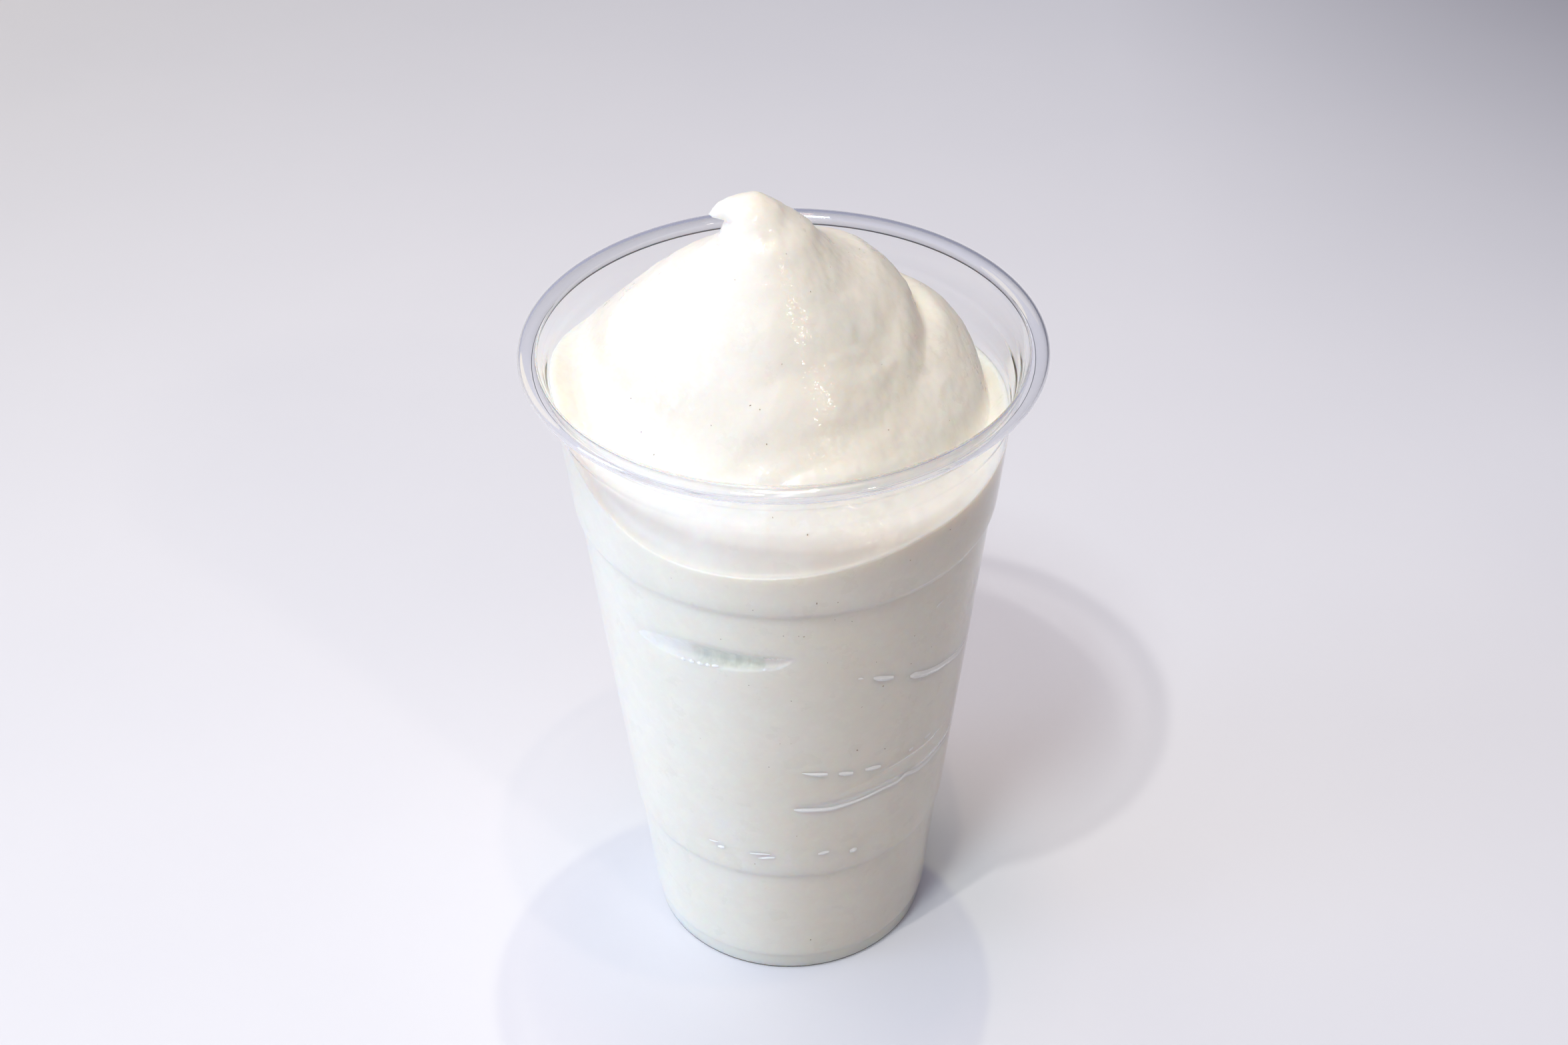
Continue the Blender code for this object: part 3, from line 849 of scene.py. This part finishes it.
def shake_material():
    material, tree = nodes_of("vanilla_shake")
    out = tree.nodes.new("ShaderNodeOutputMaterial")
    shader = tree.nodes.new("ShaderNodeBsdfPrincipled")
    tree.links.new(shader.outputs[0], out.inputs["Surface"])
    coords = tree.nodes.new("ShaderNodeTexCoord").outputs["Object"]

    cream = (0.902, 0.853, 0.765)
    warm = (0.897, 0.84, 0.738)
    broad = noise_node(tree, coords, 70.0, 3.0)
    colour = mix_colour(tree, ramp(tree, broad.outputs[0], 0.35, 0.7), cream, warm)
    grain = noise_node(tree, coords, 900.0, 2.0)
    colour = mix_colour(tree, ramp(tree, grain.outputs[0], 0.52, 0.75, 0.0, 0.25), colour, (0.93, 0.90, 0.84))
    # Painted shade: a darker yellow-brown colour along the creases.
    crease_shade = tree.nodes.new("ShaderNodeAttribute")
    crease_shade.attribute_name = "crease_shade"
    colour = mix_colour(tree, ramp(tree, crease_shade.outputs["Fac"], 0.05, 0.9, 0.0, 0.55), colour, (0.84, 0.75, 0.60))
    # Painted shade: a darker colour just inside the wall, under the rim.
    settled_and_shaded = tree.nodes.new("ShaderNodeAttribute")
    settled_and_shaded.attribute_name = "settled_and_shaded"
    melt = noise_node(tree, coords, 120.0, 3.0)
    wetter_and_shaded = mix_colour(tree, ramp(tree, melt.outputs[0], 0.35, 0.65), (0.86, 0.825, 0.755), (0.90, 0.865, 0.795))
    colour = mix_colour(tree, settled_and_shaded.outputs["Fac"], colour, wetter_and_shaded)
    # Painted shade: darker grey-green streaks over part of the pocket.
    pocket_shade = tree.nodes.new("ShaderNodeAttribute")
    pocket_shade.attribute_name = "pocket_shade"
    streaks = tree.nodes.new("ShaderNodeMapping")
    streaks.inputs["Scale"].default_value = (900.0, 900.0, 60.0)
    tree.links.new(coords, streaks.inputs["Vector"])
    streak = noise_node(tree, streaks.outputs[0], 1.0, 2.0)
    pocket_shade_colour = mix_colour(tree, ramp(tree, streak.outputs[0], 0.35, 0.65), (0.70, 0.695, 0.575), (0.82, 0.81, 0.685))
    colour = mix_colour(tree, pocket_shade.outputs["Fac"], colour, pocket_shade_colour)
    tree.links.new(colour, shader.inputs["Base Color"])

    shader.inputs["Subsurface Weight"].default_value = 1.0
    shader.inputs["Subsurface Radius"].default_value = (1.0, 0.72, 0.5)
    shader.inputs["Subsurface Scale"].default_value = 0.003
    shader.inputs["IOR"].default_value = 1.38
    shader.inputs["Specular IOR Level"].default_value = 0.5

    wet = noise_node(tree, coords, 160.0, 4.0, 0.6)
    tree.links.new(ramp(tree, wet.outputs[0], 0.35, 0.68, 0.24, 0.52), shader.inputs["Roughness"])

    fine = noise_node(tree, coords, 1500.0, 3.0, 0.6)
    pores = tree.nodes.new("ShaderNodeTexVoronoi")
    pores.inputs["Scale"].default_value = 900.0
    tree.links.new(coords, pores.inputs["Vector"])
    joined = tree.nodes.new("ShaderNodeMath")
    joined.operation = "MULTIPLY_ADD"
    tree.links.new(ramp(tree, pores.outputs["Distance"], 0.0, 0.6), joined.inputs[0])
    joined.inputs[1].default_value = 0.35
    tree.links.new(fine.outputs[0], joined.inputs[2])
    bump = tree.nodes.new("ShaderNodeBump")
    bump.inputs["Strength"].default_value = 0.1
    bump.inputs["Distance"].default_value = 0.00008
    tree.links.new(joined.outputs[0], bump.inputs["Height"])
    tree.links.new(bump.outputs[0], shader.inputs["Normal"])

    # A film of melt lies over it, uneven enough to glitter.
    film = noise_node(tree, coords, 210.0, 3.0, 0.6)
    facing = tree.nodes.new("ShaderNodeLayerWeight")
    patchy = tree.nodes.new("ShaderNodeMath")
    patchy.operation = "MULTIPLY"
    tree.links.new(ramp(tree, film.outputs[0], 0.4, 0.55, 0.2, 1.0), patchy.inputs[0])
    tree.links.new(ramp(tree, facing.outputs["Facing"], 0.4, 0.75, 1.0, 0.0), patchy.inputs[1])
    tree.links.new(patchy.outputs[0], shader.inputs["Coat Weight"])
    shader.inputs["Coat Roughness"].default_value = 0.11
    shader.inputs["Coat IOR"].default_value = 1.4
    ripple = noise_node(tree, coords, 600.0, 2.0, 0.5)
    glitter = tree.nodes.new("ShaderNodeBump")
    glitter.inputs["Strength"].default_value = 0.6
    glitter.inputs["Distance"].default_value = 0.00045
    tree.links.new(ripple.outputs[0], glitter.inputs["Height"])
    tree.links.new(glitter.outputs[0], shader.inputs["Coat Normal"])
    return material


def plastic_material():
    material, tree = nodes_of("clear_plastic")
    out = tree.nodes.new("ShaderNodeOutputMaterial")
    shader = tree.nodes.new("ShaderNodeBsdfPrincipled")
    coords = tree.nodes.new("ShaderNodeTexCoord").outputs["Object"]
    shader.inputs["Base Color"].default_value = (0.985, 0.99, 1.0, 1.0)
    shader.inputs["Transmission Weight"].default_value = 1.0
    shader.inputs["IOR"].default_value = 1.57
    haze = noise_node(tree, coords, 45.0, 4.0, 0.6)
    tree.links.new(ramp(tree, haze.outputs[0], 0.4, 0.75, 0.005, 0.03), shader.inputs["Roughness"])
    draw = noise_node(tree, coords, 260.0, 2.0)
    bump = tree.nodes.new("ShaderNodeBump")
    bump.inputs["Strength"].default_value = 0.05
    bump.inputs["Distance"].default_value = 0.0001
    tree.links.new(draw.outputs[0], bump.inputs["Height"])
    tree.links.new(bump.outputs[0], shader.inputs["Normal"])
    # Lamp light passes straight through, less of it where it grazes the sheet.
    clear = tree.nodes.new("ShaderNodeBsdfTransparent")
    facing = tree.nodes.new("ShaderNodeLayerWeight")
    place = tree.nodes.new("ShaderNodeSeparateXYZ")
    tree.links.new(coords, place.inputs[0])
    # The free wall and above all the rolled rim bend lamp light away.
    free_wall = ramp(tree, place.outputs[2], 0.110, 0.120, 1.0, 0.88)
    rim = ramp(tree, place.outputs[2], 0.1352, 0.1362, 1.0, 0.5)
    passing = ramp(tree, facing.outputs["Facing"], 0.4, 0.85, 0.94, 0.3)
    for part in (free_wall, rim):
        joined = tree.nodes.new("ShaderNodeMath")
        joined.operation = "MULTIPLY"
        tree.links.new(passing, joined.inputs[0])
        tree.links.new(part, joined.inputs[1])
        passing = joined.outputs[0]
    tree.links.new(passing, clear.inputs["Color"])
    path = tree.nodes.new("ShaderNodeLightPath")
    mix = tree.nodes.new("ShaderNodeMixShader")
    tree.links.new(path.outputs["Is Shadow Ray"], mix.inputs[0])
    tree.links.new(shader.outputs[0], mix.inputs[1])
    tree.links.new(clear.outputs[0], mix.inputs[2])
    tree.links.new(mix.outputs[0], out.inputs["Surface"])
    return material


def glint_material():
    material, tree = nodes_of("air_film_glint")
    out = tree.nodes.new("ShaderNodeOutputMaterial")
    shader = tree.nodes.new("ShaderNodeBsdfPrincipled")
    tree.links.new(shader.outputs[0], out.inputs["Surface"])
    coords = tree.nodes.new("ShaderNodeTexCoord").outputs["Object"]
    grain = noise_node(tree, coords, 1400.0, 3.0)
    # Near-white: the strips paint the reflection of trapped air.
    colour = mix_colour(tree, ramp(tree, grain.outputs[0], 0.35, 0.65), (0.965, 0.945, 0.905), (0.99, 0.975, 0.945))
    tree.links.new(colour, shader.inputs["Base Color"])
    tree.links.new(ramp(tree, grain.outputs[0], 0.3, 0.7, 0.14, 0.3), shader.inputs["Roughness"])
    return material


def speck_material():
    material, tree = nodes_of("vanilla_speck")
    out = tree.nodes.new("ShaderNodeOutputMaterial")
    shader = tree.nodes.new("ShaderNodeBsdfPrincipled")
    tree.links.new(shader.outputs[0], out.inputs["Surface"])
    coords = tree.nodes.new("ShaderNodeTexCoord").outputs["Object"]
    grain = noise_node(tree, coords, 300.0, 3.0)
    colour = mix_colour(tree, ramp(tree, grain.outputs[0], 0.35, 0.65), (0.19, 0.115, 0.06), (0.45, 0.33, 0.21))
    tree.links.new(colour, shader.inputs["Base Color"])
    tree.links.new(ramp(tree, grain.outputs[0], 0.3, 0.7, 0.4, 0.65), shader.inputs["Roughness"])
    return material


def floor_material():
    material, tree = nodes_of("pale_floor")
    out = tree.nodes.new("ShaderNodeOutputMaterial")
    shader = tree.nodes.new("ShaderNodeBsdfPrincipled")
    tree.links.new(shader.outputs[0], out.inputs["Surface"])
    coords = tree.nodes.new("ShaderNodeTexCoord").outputs["Object"]
    mottle = noise_node(tree, coords, 14.0, 4.0)
    colour = mix_colour(tree, ramp(tree, mottle.outputs[0], 0.3, 0.7), (0.80, 0.80, 0.845), (0.815, 0.813, 0.855))
    # Painted shade: the floor colour darkens towards the back right corner, where the light falls off.
    parts = tree.nodes.new("ShaderNodeSeparateXYZ")
    tree.links.new(coords, parts.inputs[0])
    across = ramp(tree, parts.outputs[0], 0.12, 0.34)
    deep = ramp(tree, parts.outputs[1], 0.16, 0.48)
    corner = tree.nodes.new("ShaderNodeMath")
    corner.operation = "MULTIPLY"
    tree.links.new(across, corner.inputs[0])
    tree.links.new(deep, corner.inputs[1])
    colour = mix_colour(tree, ramp(tree, corner.outputs[0], 0.0, 1.0, 0.0, 0.9), colour, (0.32, 0.315, 0.36))
    tree.links.new(colour, shader.inputs["Base Color"])
    shader.inputs["Roughness"].default_value = 0.6
    shader.inputs["Specular IOR Level"].default_value = 0.3
    return material


# ---------------------------------------------------------------- build

plastic = plastic_material()
cream = shake_material()

cup = add("cup_clear", cup_mesh(), plastic)
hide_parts("cup")
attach(cup, "root")

mesh = shake_mesh()
detail_shake(mesh)
shake = add("shake", mesh, cream)
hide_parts("milkshake")
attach(shake, "root")

marks = add("air_film_glints", glint_strips_mesh(), glint_material())
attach(marks, "root")
specks = add("specks", specks_mesh(mesh), speck_material())
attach(specks, "root")

# ---------------------------------------------------------------- stage, light, camera

floor_mesh = bpy.data.meshes.new("floor")
count = 96
floor_mesh.from_pydata(
    [(3.0 * math.cos(2 * math.pi * i / count), 3.0 * math.sin(2 * math.pi * i / count), -0.00005) for i in range(count)],
    [],
    [tuple(range(count))],
)
floor = add("floor", floor_mesh, floor_material())


def aim(data, place, target):
    made = bpy.data.objects.new(data.name, data)
    bpy.context.scene.collection.objects.link(made)
    made.location = place
    made.rotation_euler = (Vector(target) - Vector(place)).to_track_quat("-Z", "Y").to_euler()
    return made


def panel(name, place, size, watts, target=(0.0, 0.0, 0.07)):
    """A round soft source; watts holds its red, green and blue strength."""
    data = bpy.data.lights.new(name, "AREA")
    data.shape = "DISK"
    data.size = size
    data.energy = max(watts)
    data.color = [w / max(watts) for w in watts]
    return aim(data, place, target)


def pool(name, place, size, watts, target, cone):
    """A soft-edged spot."""
    data = bpy.data.lights.new(name, "SPOT")
    data.shadow_soft_size = size
    data.spot_size = math.radians(cone)
    data.spot_blend = 1.0
    data.energy = max(watts)
    data.color = [w / max(watts) for w in watts]
    return aim(data, place, target)


panel("near_left", (-0.1815, -0.313, 0.894), 0.022, (1.37, 1.325, 1.226))
panel("high_back", (0.196, 0.592, 2.762), 0.05, (8.2, 7.98, 4.92))
panel("high_right", (0.221, -0.311, 2.41), 0.05, (3.2, 2.6, 1.9))
panel("side_low", (-0.95, -0.25, 0.16), 0.4, (2.43, 3.11, 4.06))
panel("back_left", (-0.7, 0.5, 0.45), 0.6, (1.15, 0.96, 0.39))
panel("front_sparkle", (0.50, -0.68, 0.72), 0.06, (0.86, 0.74, 0.62))
pool("front_pool", (-0.22, -0.56, 1.19), 0.1, (15.3, 17.6, 18.0), (-0.03, -0.02, 0.0), 42.0)
pool("top_pool", (0.0, 0.1, 1.4), 0.125, (6.5, 4.0, 3.2), (-0.03, 0.03, 0.0), 40.0)

# The room is bright on the left and falls off to the right.
world = bpy.data.worlds.new("studio")
bpy.context.scene.world = world
world.use_nodes = True
room = world.node_tree
background = room.nodes["Background"]
around = room.nodes.new("ShaderNodeTexCoord")
split = room.nodes.new("ShaderNodeSeparateXYZ")
room.links.new(around.outputs["Generated"], split.inputs[0])
room.links.new(
    mix_colour(room, ramp(room, split.outputs[0], 1.0, -1.0), (0.0, 0.0, 0.0), (0.688, 0.701, 0.918)),
    background.inputs[0],
)
background.inputs[1].default_value = 1.0

FOCAL = 3500.0
TILT, ROLL, YAW = 0.6477638, -0.0137877, -0.0009474
forward = Vector((math.sin(YAW) * math.cos(TILT), math.cos(YAW) * math.cos(TILT), -math.sin(TILT)))
level = Vector((math.cos(YAW), -math.sin(YAW), 0.0))
upright = level.cross(forward)
right = math.cos(ROLL) * level + math.sin(ROLL) * upright
up = -math.sin(ROLL) * level + math.cos(ROLL) * upright
camera_data = bpy.data.cameras.new("camera")
camera_data.sensor_fit = "HORIZONTAL"
camera_data.sensor_width = 36.0
camera_data.lens = FOCAL / 2352.0 * 36.0
camera_data.clip_start = 0.01
camera = bpy.data.objects.new("camera", camera_data)
bpy.context.scene.collection.objects.link(camera)
camera.matrix_world = Matrix(
    (
        (right.x, up.x, -forward.x, 0.0),
        (right.y, up.y, -forward.y, -0.363066),
        (right.z, up.z, -forward.z, 0.370918),
        (0.0, 0.0, 0.0, 1.0),
    )
)
bpy.context.scene.camera = camera
bpy.context.scene.view_settings.view_transform = "Standard"

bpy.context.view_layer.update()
